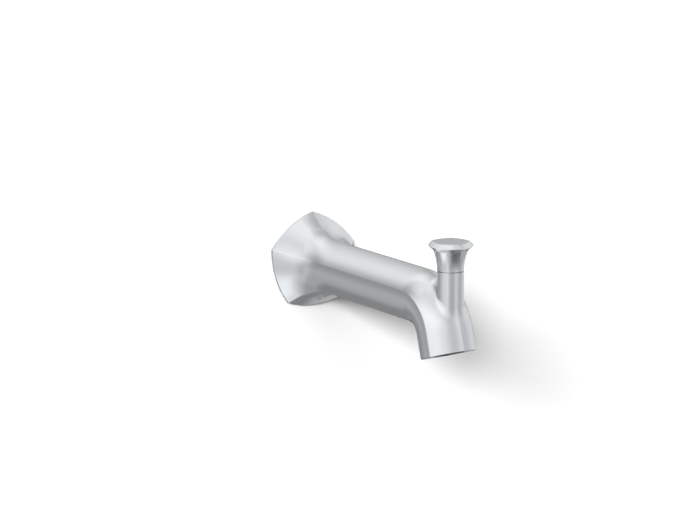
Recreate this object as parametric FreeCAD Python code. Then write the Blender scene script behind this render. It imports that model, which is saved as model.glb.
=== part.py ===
import FreeCAD, Part
import math
import os

# Wall-mounted bath spout with a pull-up diverter knob, in millimetres and degrees.
# The origin is the centre of the supply pipe in the plane of the wall.
# +Z is up, the wall is the plane Y = 0, and the spout reaches out towards -Y.

# Angles, and the directions along the lift and along the supply pipe
FULL_TURN = 360.0
HALF_TURN = 180.0
QUARTER_TURN = 90.0
UP = FreeCAD.Vector(0, 0, 1)
DOWN = FreeCAD.Vector(0, 0, -1)
TO_WALL = FreeCAD.Vector(0, 1, 0)
FROM_WALL = FreeCAD.Vector(0, -1, 0)
ACROSS = FreeCAD.Vector(1, 0, 0)

# Five-sided outline shared by the flange, tube, mouth and knob: one corner up or to the front
SIDES = 5
HALF_SIDE = HALF_TURN / SIDES
CIRCLE_BULGE = (1.0 - math.cos(math.radians(HALF_SIDE))) / (2.0 * math.sin(math.radians(HALF_SIDE)))

# Hexagons of the inlet's head, the set screw's socket and the stream former's holes
HEX_SIDES = 6
HEX_STEP = FULL_TURN / HEX_SIDES

# Flange and the flare behind the tube
flange_corner = 36.0
flange_bulge = 0.083
rim_thickness = 2.0
flare_length = 43.0
flare_rim_run = 12.0
flare_rim_drop = 12.0
flare_tube_run = 20.0
flare_steps = 10

# Tube, bend and mouth
tube_corner = 19.3
tube_bulge = 0.116
cast_wall = 3.0
straight_run = 144.2
bend_radius = 26.5
bend_angle = 73.3
mouth_leg = 16.7

# Collar that carries the lift rod, just in front of the mouth's centre
collar_radius = 8.9
collar_rise = 3.6
collar_lead = 1.4
collar_root = 5.5
collar_root_share = 0.6
same_radius = 0.001

# Hollow back of the flange, with its gasket groove
recess_depth = 16.0
rim_land = 4.8
gasket_width = 1.5
gasket_depth = 1.2
gasket_inset = 1.7

# Inlet socket for a slip-fit on half-inch copper pipe
pipe_radius = 7.94
pipe_clearance = 0.06
mouth_setback = 1.0
socket_start = 6.0
socket_end = 36.0
socket_wall = 3.3
sleeve_wall = 2.9
adapter_clearance = 0.1
hex_shoulder = 0.6
pipe_stop_width = 1.1
pipe_stop_length = 3.5
throat_length = 8.0
front_ring_out = 20.0
rear_ring_out = 25.0
body_ring_out = 29.5

# Rubber rings
ring_section = 0.9
ring_ease = 0.05
groove_ease = 0.3

# Set screw under the inlet, and the hole that a hex key reaches it through
screw_out = 12.5
screw_radius = 2.5
screw_length = 7.2
screw_key_flats = 2.5
screw_key_depth = 3.0
screw_tip_gap = 0.15
key_hole_radius = 3.4
thread_ease = 0.05

# Water passage inside the tube
core_start = 42.0
core_nose_corner = 10.0
core_nose_length = 12.0
port_radius = 4.2
port_drop = 7.0

# Diverter valve below the collar
lift_travel = 8.0
chamber_radius = 9.8
cage_clearance = 0.15
cage_bore = 6.9
flute_floor = 7.9
flute_half_angle = 50.0
flute_count = 2
post_count = 4
seat_radius = 5.0
seat_thickness = 1.2
plenum_height = 2.0
post_width = 2.4
floor_skin = 0.9
window_radius = 3.8
port_ring_radius = 5.5
port_ring_wall = 1.2
port_ring_depth = 1.2
seal_radius = 6.2
seal_thickness = 1.6
disc_radius = 6.4
disc_thickness = 1.4
washer_radius = 3.6
washer_thickness = 0.8
clip_radius = 3.4
clip_thickness = 0.8
clip_opening = 60.0
rod_radius = 2.5
rod_neck_radius = 1.75
clip_groove_radius = 1.3
rod_tip = 0.7
rest_gap = 0.3
seat_gap = 0.1

# Guide bush in the collar
guide_radius = 5.55
guide_clearance = 0.05
guide_length = 20.7
guide_flange_radius = 6.9
guide_flange = 2.0
guide_sink = 0.2
rod_running = 0.05
rod_flat = 2.0
rod_flat_length = 5.5
seal_pocket = 4.0
rod_ring_section = 0.7
retainer_thickness = 0.8
retainer_lift = 0.3
rod_passage = 3.2
body_ring_drop = 10.0

# Knob
parting_gap = 0.25
neck_height = 14.0
neck_top_corner = 12.4
neck_run = 5.9
neck_head_run = 2.7
neck_head_drop = 2.4
neck_bulge = 0.1
neck_steps = 8
head_corner = 15.6
head_bulge = 0.083
undercut_height = 2.1
head_band = 0.5
bevel_height = 2.8
top_corner = 12.8
knob_hub_radius = 4.3
knob_relief_radius = 6.6
knob_relief_depth = 4.0
rod_engagement = 13.0

# Stream former in the mouth
mouth_recess = 0.8
former_front = 1.6
former_rim = 1.3
former_dish = 0.5
former_hole = 1.15
former_pitch = 3.1
former_rings = 2

# Places that follow from the sizes above
bend_sine = math.sin(math.radians(bend_angle))
bend_cosine = math.cos(math.radians(bend_angle))
bend_end_out = straight_run + bend_radius * bend_sine
bend_end_up = bend_radius * (bend_cosine - 1.0)
mouth_out = bend_end_out + mouth_leg * bend_cosine
mouth_up = bend_end_up - mouth_leg * bend_sine
mouth_slope = bend_cosine / bend_sine
lift_out = mouth_out + collar_lead
flare_end = rim_thickness + flare_length
parting_up = tube_corner + collar_rise
core_corner = tube_corner - cast_wall / math.cos(math.radians(HALF_SIDE))
adapter_radius = pipe_radius + pipe_clearance + sleeve_wall
hex_across_flats = 2.0 * (adapter_radius + hex_shoulder)
stop_bore = pipe_radius + pipe_clearance - pipe_stop_width

# Heights of the valve's pieces at rest, from the mouth upwards
mouth_front_up = mouth_up + (lift_out + chamber_radius - mouth_out) * mouth_slope
former_top = mouth_front_up + mouth_recess + former_front
cage_bottom = former_top + seat_gap
pocket_bottom = cage_bottom + floor_skin
rod_end = pocket_bottom + rest_gap
clip_bottom = rod_end + rod_tip
disc_bottom = clip_bottom + clip_thickness
cage_floor = disc_bottom - rest_gap
seal_bottom = disc_bottom + disc_thickness
seal_top = seal_bottom + seal_thickness
washer_top = seal_top + washer_thickness
seat_under = seal_top + lift_travel + seat_gap
seat_upper = seat_under + seat_thickness
chamber_roof = seat_upper + plenum_height
port_up = (cage_floor + seat_under) / 2.0

# Heights of the guide and knob
guide_top = parting_up - guide_sink
guide_bottom = guide_top - guide_length
knob_bottom = parting_up + parting_gap
neck_top = knob_bottom + neck_height
head_low = neck_top + undercut_height
head_high = head_low + head_band
knob_top = head_high + bevel_height
rod_top = knob_bottom + rod_engagement


# Point from its place across the spout, its distance from the wall and its height
def point(across, out, up):
    return FreeCAD.Vector(across, -out, up)


# Outline of five arcs, square to a path that has turned down by tilt; a quarter turn lies it flat
def five_sided(corner, bulge, out, up, tilt=0.0):
    forward = math.sin(math.radians(tilt))
    upward = math.cos(math.radians(tilt))

    def place(radius, angle):
        turn = math.radians(angle)
        rise = radius * math.sin(turn)
        return point(radius * math.cos(turn), out + rise * forward, up + rise * upward)

    side = 2.0 * corner * math.sin(math.radians(HALF_SIDE))
    middle = corner * math.cos(math.radians(HALF_SIDE)) + bulge * side
    edges = []
    for index in range(SIDES):
        start = QUARTER_TURN + 2.0 * index * HALF_SIDE
        arc = Part.Arc(
            place(corner, start),
            place(middle, start + HALF_SIDE),
            place(corner, start + 2.0 * HALF_SIDE),
        )
        edges.append(arc.toShape())
    return Part.Wire(edges)


# Solid through a list of five-sided outlines
def skin(outlines, straight=False):
    return Part.makeLoft(outlines, True, straight)


# Point on a smooth curve with four handles
def on_curve(handles, share):
    rest = 1.0 - share
    weights = (rest**3, 3.0 * rest**2 * share, 3.0 * rest * share**2, share**3)
    first = sum(weight * handle[0] for weight, handle in zip(weights, handles))
    second = sum(weight * handle[1] for weight, handle in zip(weights, handles))
    return first, second


# Solid turned about the lift axis from radius and height pairs
def turned_on_lift(outline):
    points = [point(radius, lift_out, up) for radius, up in outline]
    face = Part.Face(Part.makePolygon(points + points[:1]))
    return face.revolve(point(0.0, lift_out, 0.0), UP, FULL_TURN)


# Solid turned about the inlet axis from radius and distance pairs
def turned_on_inlet(outline):
    points = [point(0.0, out, radius) for radius, out in outline]
    face = Part.Face(Part.makePolygon(points + points[:1]))
    return face.revolve(point(0.0, 0.0, 0.0), TO_WALL, FULL_TURN)


# Upright cylinder on the lift axis
def lift_cylinder(radius, low, high):
    return Part.makeCylinder(radius, high - low, point(0.0, lift_out, low))


# Cylinder on the inlet axis
def inlet_cylinder(radius, start, end):
    return Part.makeCylinder(radius, end - start, point(0.0, start, 0.0), FROM_WALL)


# Rubber ring of round section about the inlet axis
def inlet_ring(middle_radius, section, out):
    return Part.makeTorus(middle_radius, section, point(0.0, out, 0.0), TO_WALL)


# Rubber ring of round section about the lift axis
def lift_ring(middle_radius, section, up):
    return Part.makeTorus(middle_radius, section, point(0.0, lift_out, up))


# Hexagonal bar from a point along an axis, from its width across flats
def hexagon(across_flats, centre, axis, length):
    corner = across_flats / 2.0 / math.cos(math.radians(HEX_STEP / 2.0))
    turns = [math.radians(index * HEX_STEP) for index in range(HEX_SIDES + 1)]
    corners = [FreeCAD.Vector(corner * math.cos(turn), corner * math.sin(turn), 0) for turn in turns]
    bar = Part.Face(Part.makePolygon(corners)).extrude(UP * length)
    bar.Placement = FreeCAD.Placement(centre, FreeCAD.Rotation(UP, axis))
    return bar


# Corner radius and bulge of the flare, from the rim to the tube
def flare_outline(share, shrink=0.0):
    handles = (
        (rim_thickness, flange_corner),
        (rim_thickness + flare_rim_run, flange_corner - flare_rim_drop),
        (flare_end - flare_tube_run, tube_corner),
        (flare_end, tube_corner),
    )
    out, corner = on_curve(handles, share)
    blend = (corner - tube_corner) / (flange_corner - tube_corner)
    bulge = tube_bulge + (flange_bulge - tube_bulge) * blend
    return five_sided(corner - shrink, bulge, out, 0.0)


# Height of the upper ridge of the bend under the back of the collar
def ridge_under_collar():
    ridge_radius = bend_radius + tube_corner
    along = max(lift_out - collar_radius - straight_run, 0.0)
    return math.sqrt(ridge_radius**2 - along**2) - bend_radius


# Outside of the casting: rim, flare, tube, bend, mouth and collar, blended at the collar's root
def casting_outside():
    rim = Part.Face(five_sided(flange_corner, flange_bulge, 0.0, 0.0))
    rim = rim.extrude(point(0.0, rim_thickness, 0.0))
    flare = skin([flare_outline(step / flare_steps) for step in range(flare_steps + 1)])
    tube = Part.Face(five_sided(tube_corner, tube_bulge, flare_end, 0.0))
    tube = tube.extrude(point(0.0, straight_run - flare_end, 0.0))
    bend = Part.Face(five_sided(tube_corner, tube_bulge, straight_run, 0.0))
    bend = bend.revolve(point(0.0, straight_run, -bend_radius), ACROSS, bend_angle)
    leg = Part.Face(five_sided(tube_corner, tube_bulge, bend_end_out, bend_end_up, bend_angle))
    leg = leg.extrude(point(0.0, mouth_leg * bend_cosine, -mouth_leg * bend_sine))
    collar = lift_cylinder(collar_radius, chamber_roof, parting_up)
    outside = rim.fuse([flare, tube, bend, leg, collar]).removeSplitter()
    root = min(collar_root, collar_root_share * (parting_up - ridge_under_collar()))
    return outside.makeFillet(root, collar_root_edges(outside))


# Edges where the round collar meets the five-sided bend
def collar_root_edges(outside):
    found = []
    for edge in outside.Edges:
        faces = [face for face in outside.Faces if any(edge.isSame(other) for other in face.Edges)]
        round_faces = [face for face in faces if face.Surface.TypeId == "Part::GeomCylinder"
                       and abs(face.Surface.Radius - collar_radius) < same_radius]
        flat_faces = [face for face in faces if face.Surface.TypeId == "Part::GeomPlane"]
        if len(faces) == 2 and len(round_faces) == 1 and not flat_faces:
            found.append(edge)
    return found


# Hollow back of the flange, around the inlet socket
def flange_recess():
    outlines = []
    corner_wall = cast_wall / math.cos(math.radians(HALF_SIDE))
    land = rim_land / math.cos(math.radians(HALF_SIDE))
    outlines.append(five_sided(flange_corner - land, flange_bulge, 0.0, 0.0))
    for step in range(1, flare_steps + 1):
        outlines.append(flare_outline(step / flare_steps, corner_wall))
    hollow = skin(outlines)
    reach = flange_corner * 2.0
    box = Part.makeBox(reach, recess_depth, reach, FreeCAD.Vector(-reach / 2.0, -recess_depth, -reach / 2.0))
    return hollow.common(box)


# Ring between two five-sided outlines in the back of the flange
def back_ring(inset, width, depth):
    corner_outer = flange_corner - inset / math.cos(math.radians(HALF_SIDE))
    corner_inner = corner_outer - width / math.cos(math.radians(HALF_SIDE))
    outer = Part.Face(five_sided(corner_outer, flange_bulge, 0.0, 0.0)).extrude(point(0.0, depth, 0.0))
    inner = Part.Face(five_sided(corner_inner, flange_bulge, 0.0, 0.0)).extrude(point(0.0, depth, 0.0))
    return outer.cut(inner)


# Water passage of the tube, from the socket's throat to the port into the valve chamber
def water_passage():
    core_end = straight_run - core_nose_length / 2.0
    core = Part.Face(five_sided(core_corner, tube_bulge, core_start, 0.0))
    core = core.extrude(point(0.0, core_end - core_start, 0.0))
    nose = skin([
        five_sided(core_corner, tube_bulge, core_end, 0.0),
        five_sided(core_nose_corner, tube_bulge, core_end + core_nose_length, 0.0),
    ], True)
    throat = inlet_cylinder(stop_bore, socket_end, socket_end + throat_length)
    start = point(0.0, straight_run, -port_drop)
    end = point(0.0, lift_out - chamber_radius + cage_clearance, port_up)
    port = Part.makeCylinder(port_radius, (end - start).Length + port_radius / 2.0, start, end - start)
    return core.fuse([nose, throat, port])


# Brass casting of the whole spout, flange and tube in one piece
def spout_body():
    socket_radius = adapter_radius + adapter_clearance + socket_wall
    body = casting_outside().cut(flange_recess())
    body = body.fuse(inlet_cylinder(socket_radius, socket_start, recess_depth + cast_wall))
    body = body.cut(back_ring(gasket_inset, gasket_width, gasket_depth))
    body = body.cut(inlet_cylinder(adapter_radius + adapter_clearance, 0.0, socket_end))
    body = body.cut(water_passage())
    body = body.cut(lift_cylinder(chamber_radius, mouth_up - chamber_radius, chamber_roof))
    body = body.cut(lift_cylinder(rod_passage, chamber_roof - seat_gap, parting_up))
    body = body.cut(lift_cylinder(guide_radius + guide_clearance, guide_bottom - rest_gap, parting_up))
    body = body.cut(lift_cylinder(
        guide_flange_radius + guide_clearance, guide_top - guide_flange, parting_up + rest_gap))
    screw_hole = Part.makeCylinder(
        screw_radius + thread_ease, socket_radius, point(0.0, screw_out, 0.0), DOWN)
    key_hole = Part.makeCylinder(
        key_hole_radius, flange_corner, point(0.0, screw_out, -socket_radius - rest_gap), DOWN)
    return body.cut(screw_hole).cut(key_hole).removeSplitter()


# Foam gasket in the groove behind the rim
def wall_gasket():
    return back_ring(gasket_inset + ring_ease, gasket_width - 2.0 * ring_ease, gasket_depth - ring_ease)


# Turned brass sleeve that slips over the copper pipe, with a hexagon to screw it in by
def inlet_adapter():
    bore = pipe_radius + pipe_clearance
    stop_start = socket_end - rest_gap - pipe_stop_length
    sleeve = turned_on_inlet([
        (bore, mouth_setback),
        (adapter_radius, mouth_setback),
        (adapter_radius, socket_end - rest_gap),
        (stop_bore, socket_end - rest_gap),
        (stop_bore, stop_start),
        (bore, stop_start),
    ])
    head_length = socket_start - mouth_setback
    head = hexagon(hex_across_flats, point(0.0, mouth_setback, 0.0), FROM_WALL, head_length - ring_ease)
    head = head.cut(inlet_cylinder(bore, 0.0, socket_start))
    sleeve = sleeve.fuse(head)
    for out in (front_ring_out, rear_ring_out):
        sleeve = sleeve.cut(pipe_ring_groove(out))
    sleeve = sleeve.cut(body_ring_groove())
    hole = Part.makeCylinder(
        screw_radius + thread_ease, adapter_radius * 2.0, point(0.0, screw_out, 0.0), DOWN)
    return sleeve.cut(hole).removeSplitter()


# Groove inside the sleeve for one of the rings that grip the pipe
def pipe_ring_groove(out):
    floor = pipe_radius + pipe_clearance + 2.0 * (ring_section + ring_ease)
    half = ring_section + groove_ease / 2.0
    outer = inlet_cylinder(floor, out - half, out + half)
    return outer.cut(inlet_cylinder(stop_bore, out - half, out + half))


# Groove outside the sleeve for the ring that seals it in the casting
def body_ring_groove():
    floor = adapter_radius + adapter_clearance - 2.0 * (ring_section + ring_ease)
    half = ring_section + groove_ease / 2.0
    outer = inlet_cylinder(adapter_radius * 2.0, body_ring_out - half, body_ring_out + half)
    return outer.cut(inlet_cylinder(floor, body_ring_out - half, body_ring_out + half))


# Ring inside the sleeve, drawn as the pipe squeezes it
def pipe_ring(out):
    return inlet_ring(pipe_radius + pipe_clearance + ring_ease + ring_section, ring_section, out)


# Ring between the sleeve and the casting
def adapter_ring():
    middle = adapter_radius + adapter_clearance - ring_ease - ring_section
    return inlet_ring(middle, ring_section, body_ring_out)


# Hex socket set screw that holds the spout on the pipe
def set_screw():
    tip = pipe_radius + pipe_clearance + screw_tip_gap
    screw = Part.makeCylinder(screw_radius, screw_length, point(0.0, screw_out, -tip), DOWN)
    key_floor = point(0.0, screw_out, -tip - screw_length + screw_key_depth)
    return screw.cut(hexagon(screw_key_flats, key_floor, DOWN, screw_key_depth))


# Brass bush in the collar: the rod runs in it, and two flats keep the knob's corners in line
def stem_guide():
    pocket_top = guide_bottom + retainer_lift + retainer_thickness + rest_gap + 2.0 * rod_ring_section
    bush = turned_on_lift([
        (0.0, guide_bottom),
        (guide_radius, guide_bottom),
        (guide_radius, guide_top - guide_flange),
        (guide_flange_radius, guide_top - guide_flange),
        (guide_flange_radius, guide_top),
        (0.0, guide_top),
    ])
    flats_bottom = guide_top - rod_flat_length
    bush = bush.cut(lift_cylinder(rod_radius + rod_running, guide_bottom, flats_bottom))
    bush = bush.cut(flatted_bar(rod_radius + rod_running, rod_flat + rod_running, flats_bottom, guide_top))
    bush = bush.cut(lift_cylinder(seal_pocket, guide_bottom, pocket_top))
    return bush.cut(guide_ring_groove())


# Round bar with two flats, on the lift axis
def flatted_bar(radius, half_width, low, high):
    bar = lift_cylinder(radius, low, high)
    slab = Part.makeBox(
        half_width * 2.0, radius * 4.0, high - low, point(-half_width, lift_out + radius * 2.0, low))
    return bar.common(slab)


# Groove around the bush for its ring
def guide_ring_groove():
    half = rod_ring_section + groove_ease / 2.0
    middle = guide_top - body_ring_drop
    floor = guide_radius + guide_clearance - 2.0 * (rod_ring_section + ring_ease)
    outer = lift_cylinder(guide_radius * 2.0, middle - half, middle + half)
    return outer.cut(lift_cylinder(floor, middle - half, middle + half))


# Ring that seals the bush in the collar
def guide_o_ring():
    middle = guide_radius + guide_clearance - ring_ease - rod_ring_section
    return lift_ring(middle, rod_ring_section, guide_top - body_ring_drop)


# Ring that seals the rod, in the pocket under the bush
def stem_seal():
    middle = rod_radius + rod_running + rod_ring_section
    up = guide_bottom + retainer_lift + retainer_thickness + rest_gap / 2.0 + rod_ring_section
    return lift_ring(middle, rod_ring_section, up)


# Washer that keeps the rod's seal in its pocket
def seal_retainer():
    low = guide_bottom + retainer_lift
    outer = lift_cylinder(seal_pocket - rod_running, low, low + retainer_thickness)
    return outer.cut(lift_cylinder(rod_radius + 2.0 * rod_running, low, low + retainer_thickness))


# Moulded cage of the valve: seat above, water window behind, return flutes at both sides
def diverter_cage():
    radius = chamber_radius - cage_clearance
    cage = lift_cylinder(radius, cage_bottom, seat_upper)
    cage = cage.cut(lift_cylinder(cage_bore, cage_floor, seat_under))
    cage = cage.cut(lift_cylinder(seat_radius, seat_under, seat_upper))
    cage = cage.cut(lift_cylinder(clip_radius + rest_gap, pocket_bottom, cage_floor))
    for index in range(flute_count):
        cage = cage.cut(return_flute(index * FULL_TURN / flute_count))
    rear = point(0.0, lift_out, port_up)
    window = Part.makeCylinder(window_radius, radius * 2.0, rear, TO_WALL)
    cage = cage.cut(window).cut(port_ring_space(0.0))
    for index in range(post_count):
        cage = cage.fuse(cage_post((index + 0.5) * FULL_TURN / post_count))
    return cage.removeSplitter()


# Crescent groove down one side of the cage
def return_flute(middle):
    height = seat_upper - cage_bottom
    start = middle - flute_half_angle
    wedge = Part.makeCylinder(
        chamber_radius * 2.0, height, point(0.0, lift_out, cage_bottom), UP, 2.0 * flute_half_angle)
    wedge.rotate(point(0.0, lift_out, 0.0), UP, start)
    return wedge.cut(lift_cylinder(flute_floor, cage_bottom, seat_upper))


# Short post on top of the cage that bears on the chamber's roof
def cage_post(angle):
    radius = chamber_radius - cage_clearance
    top = chamber_roof - seat_gap
    post = Part.makeBox(
        radius, post_width, top - seat_upper, point(0.0, lift_out + post_width / 2.0, seat_upper))
    post.rotate(point(0.0, lift_out, 0.0), UP, angle)
    ring = lift_cylinder(radius, seat_upper, top).cut(lift_cylinder(cage_bore, seat_upper, top))
    return post.common(ring)


# Ring-shaped space around the cage's water window, narrowed by ease on every side
def port_ring_space(ease):
    radius = chamber_radius - cage_clearance
    rear = point(0.0, lift_out - radius + port_ring_depth - ease, port_up)
    outer = Part.makeCylinder(port_ring_radius - ease, radius, rear, TO_WALL)
    inner = Part.makeCylinder(port_ring_radius - port_ring_wall + ease, radius, rear, TO_WALL)
    return outer.cut(inner)


# Rubber ring around the water window, trimmed to the chamber's round wall
def port_seal():
    ring = port_ring_space(ring_ease)
    return ring.common(lift_cylinder(chamber_radius - ring_ease, cage_bottom, seat_upper))


# Lift rod: round where it seals, with two flats in the bush and a neck for the valve disc
def lift_rod():
    outline = [
        (0.0, rod_end),
        (rod_neck_radius, rod_end),
        (rod_neck_radius, clip_bottom),
        (clip_groove_radius, clip_bottom),
        (clip_groove_radius, disc_bottom),
        (rod_neck_radius, disc_bottom),
        (rod_neck_radius, washer_top),
        (rod_radius, washer_top),
        (rod_radius, rod_top),
        (0.0, rod_top),
    ]
    rod = turned_on_lift(outline)
    low = guide_top - rod_flat_length - lift_travel - rest_gap
    high = knob_bottom
    band = lift_cylinder(rod_radius * 2.0, low, high)
    return rod.cut(band).fuse(flatted_bar(rod_radius, rod_flat, low, high))


# Washer on top of the rubber seal, small enough to pass the seat
def seal_washer():
    outer = lift_cylinder(washer_radius, seal_top, washer_top)
    return outer.cut(lift_cylinder(rod_neck_radius + rod_running, seal_top, washer_top))


# Rubber face that closes the seat
def disc_seal():
    outer = lift_cylinder(seal_radius, seal_bottom, seal_top)
    return outer.cut(lift_cylinder(rod_neck_radius + rod_running, seal_bottom, seal_top))


# Brass disc that backs the rubber face
def valve_disc():
    outer = lift_cylinder(disc_radius, disc_bottom, seal_bottom)
    return outer.cut(lift_cylinder(rod_neck_radius + rod_running, disc_bottom, seal_bottom))


# Open spring clip in the rod's groove, under the disc
def rod_clip():
    ring = lift_cylinder(clip_radius, clip_bottom, disc_bottom)
    ring = ring.cut(lift_cylinder(clip_groove_radius + rod_running, clip_bottom, disc_bottom))
    gap = Part.makeCylinder(
        clip_radius * 2.0, clip_thickness, point(0.0, lift_out, clip_bottom), UP, clip_opening)
    gap.rotate(point(0.0, lift_out, 0.0), UP, QUARTER_TURN - clip_opening / 2.0)
    return ring.cut(gap)


# Outline of the knob's neck, round at the parting line and five-sided under the head
def neck_outline(share):
    handles = (
        (knob_bottom, collar_radius),
        (knob_bottom + neck_run, collar_radius),
        (neck_top - neck_head_run, neck_top_corner - neck_head_drop),
        (neck_top, neck_top_corner),
    )
    up, corner = on_curve(handles, share)
    bulge = CIRCLE_BULGE + (neck_bulge - CIRCLE_BULGE) * share
    return five_sided(corner, bulge, lift_out, up, QUARTER_TURN)


# Solid knob: flared neck, undercut, thin band and bevelled five-sided top
def knob():
    neck = skin([neck_outline(step / neck_steps) for step in range(neck_steps + 1)])
    levels = (
        (neck_top_corner, neck_bulge, neck_top),
        (head_corner, head_bulge, head_low),
        (head_corner, head_bulge, head_high),
        (top_corner, head_bulge, knob_top),
    )
    flats = [five_sided(corner, bulge, lift_out, up, QUARTER_TURN) for corner, bulge, up in levels]
    head = [skin(flats[index:index + 2], True) for index in range(len(flats) - 1)]
    body = neck.fuse(head)
    relief = lift_cylinder(knob_relief_radius, knob_bottom, knob_bottom + knob_relief_depth)
    relief = relief.cut(lift_cylinder(knob_hub_radius, knob_bottom, knob_bottom + knob_relief_depth))
    socket = lift_cylinder(rod_radius + rod_running, knob_bottom, rod_top + rest_gap)
    return body.cut(relief).cut(socket).removeSplitter()


# Places of the former's holes: one in the middle and rings of six, twelve and so on
def honeycomb_places():
    places = [(0.0, 0.0)]
    for ring in range(1, former_rings + 1):
        for index in range(HEX_SIDES * ring):
            side, step = divmod(index, ring)
            start = math.radians(HEX_STEP * side)
            turn = math.radians(HEX_STEP * (side + 2))
            across = former_pitch * (ring * math.cos(start) + step * math.cos(turn))
            ahead = former_pitch * (ring * math.sin(start) + step * math.sin(turn))
            places.append((across, ahead))
    return places


# Moulded stream former: upright holes, and a lower face that follows the slanted mouth
def stream_former():
    radius = chamber_radius - cage_clearance
    low = mouth_up - chamber_radius
    former = lift_cylinder(radius, low, former_top)
    former = former.cut(lift_cylinder(radius - former_rim, former_top - former_dish, former_top))
    for across, ahead in honeycomb_places():
        hole = Part.makeCylinder(former_hole, former_top - low, point(across, lift_out + ahead, low))
        former = former.cut(hole)
    reach = flange_corner * 2.0
    below = Part.makeBox(reach, reach, reach, FreeCAD.Vector(-reach / 2.0, -reach / 2.0, -reach))
    tilt = FreeCAD.Rotation(ACROSS, bend_angle - QUARTER_TURN)
    below.Placement = FreeCAD.Placement(point(0.0, mouth_out, mouth_up + mouth_recess), tilt)
    return former.cut(below)


PIECES = {
    "spout_body": spout_body,
    "wall_gasket": wall_gasket,
    "inlet_adapter": inlet_adapter,
    "adapter_o_ring": adapter_ring,
    "pipe_o_ring_front": lambda: pipe_ring(front_ring_out),
    "pipe_o_ring_rear": lambda: pipe_ring(rear_ring_out),
    "set_screw": set_screw,
    "stem_guide": stem_guide,
    "guide_o_ring": guide_o_ring,
    "stem_seal": stem_seal,
    "seal_retainer": seal_retainer,
    "diverter_cage": diverter_cage,
    "port_seal": port_seal,
    "stream_former": stream_former,
    "lift_rod": lift_rod,
    "seal_washer": seal_washer,
    "disc_seal": disc_seal,
    "valve_disc": valve_disc,
    "rod_clip": rod_clip,
    "knob": knob,
}

os.makedirs("parts", exist_ok=True)
for name, build in PIECES.items():
    shape = build()
    if len(shape.Solids) == 1:
        shape = shape.Solids[0]
    shape.exportStep("parts/" + name + ".step")
    print(name, "solids", len(shape.Solids), "valid", shape.isValid(), "volume", round(shape.Volume, 1))
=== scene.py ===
import bpy
import bmesh
import math
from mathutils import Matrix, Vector


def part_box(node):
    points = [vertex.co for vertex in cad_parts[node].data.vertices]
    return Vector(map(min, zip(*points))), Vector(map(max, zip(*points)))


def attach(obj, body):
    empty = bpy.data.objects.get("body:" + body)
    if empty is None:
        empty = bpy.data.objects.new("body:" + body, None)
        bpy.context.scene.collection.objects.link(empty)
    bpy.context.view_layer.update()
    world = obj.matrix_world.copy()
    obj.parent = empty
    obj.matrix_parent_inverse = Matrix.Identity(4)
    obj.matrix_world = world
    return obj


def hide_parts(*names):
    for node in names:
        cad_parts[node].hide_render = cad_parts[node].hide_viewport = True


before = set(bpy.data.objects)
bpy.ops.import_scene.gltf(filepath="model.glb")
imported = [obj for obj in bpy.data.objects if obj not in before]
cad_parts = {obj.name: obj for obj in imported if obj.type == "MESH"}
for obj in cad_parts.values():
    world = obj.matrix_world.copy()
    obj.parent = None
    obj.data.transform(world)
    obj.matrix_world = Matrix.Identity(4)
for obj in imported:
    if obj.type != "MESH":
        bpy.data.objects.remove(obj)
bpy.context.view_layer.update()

# Spout casting
# The real one is a single sand casting in brass: wall flange, flared tube, bent mouth and round collar.
# It is linished and polished outside, plated with nickel and satin chrome, and its bores are machined.
MM = 0.001
SIDES = 5
PER_SIDE = 16
HALF_SIDE = math.pi / SIDES
QUARTER = math.pi / 2.0
flange_corner = 36.0
flange_bulge = 0.083
rim_thickness = 2.0
flare_length = 43.0
flare_rim_run = 12.0
flare_rim_drop = 12.0
flare_tube_run = 20.0
flare_steps = 18
tube_corner = 19.3
tube_bulge = 0.116
straight_run = 144.2
bend_radius = 26.5
bend_angle = math.radians(73.3)
bend_steps = 36
mouth_leg = 16.7
leg_spare = 2.0
mouth_tilt = math.radians(2.3)
collar_radius = 8.9
collar_lead = 1.4
parting_up = 22.8
ridge_round = 0.35
edge_round = 0.25
same_place = 0.01
flare_end = rim_thickness + flare_length
flare_handles = (
    (rim_thickness, flange_corner),
    (rim_thickness + flare_rim_run, flange_corner - flare_rim_drop),
    (flare_end - flare_tube_run, tube_corner),
    (flare_end, tube_corner),
)
mouth_out = straight_run + bend_radius * math.sin(bend_angle) + mouth_leg * math.cos(bend_angle)
mouth_up = bend_radius * (math.cos(bend_angle) - 1.0) - mouth_leg * math.sin(bend_angle)
lift_out = mouth_out + collar_lead


# Empty piece in edit mode, its object at the origin
def start_piece(name):
    piece = bpy.data.objects.new(name, bpy.data.meshes.new(name))
    bpy.context.scene.collection.objects.link(piece)
    bpy.ops.object.select_all(action="DESELECT")
    piece.select_set(True)
    bpy.context.view_layer.objects.active = piece
    bpy.ops.object.mode_set(mode="EDIT")
    return piece


# Selects the points of the piece that pass a test of their place in millimetres
def pick(piece, test):
    bpy.ops.mesh.select_all(action="DESELECT")
    mesh = bmesh.from_edit_mesh(piece.data)
    for vertex in mesh.verts:
        if test(vertex.co / MM):
            vertex.select_set(True)
    mesh.select_flush(True)
    bmesh.update_edit_mesh(piece.data)


# Arc of a side that bows out by a share of its chord: distance of its centre from the middle, and radius
def side_arc(corner, bulge):
    chord = 2.0 * corner * math.sin(HALF_SIDE)
    rise = bulge * chord
    radius = (chord**2 / 4.0 + rise**2) / (2.0 * rise)
    return corner * math.cos(HALF_SIDE) + rise - radius, radius


# Distance of a bowed side from the outline's middle, at an angle from the middle of that side
def bow_reach(corner, bulge, angle):
    offset, radius = side_arc(corner, bulge)
    return offset * math.cos(angle) + math.sqrt(radius**2 - (offset * math.sin(angle)) ** 2)


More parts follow.
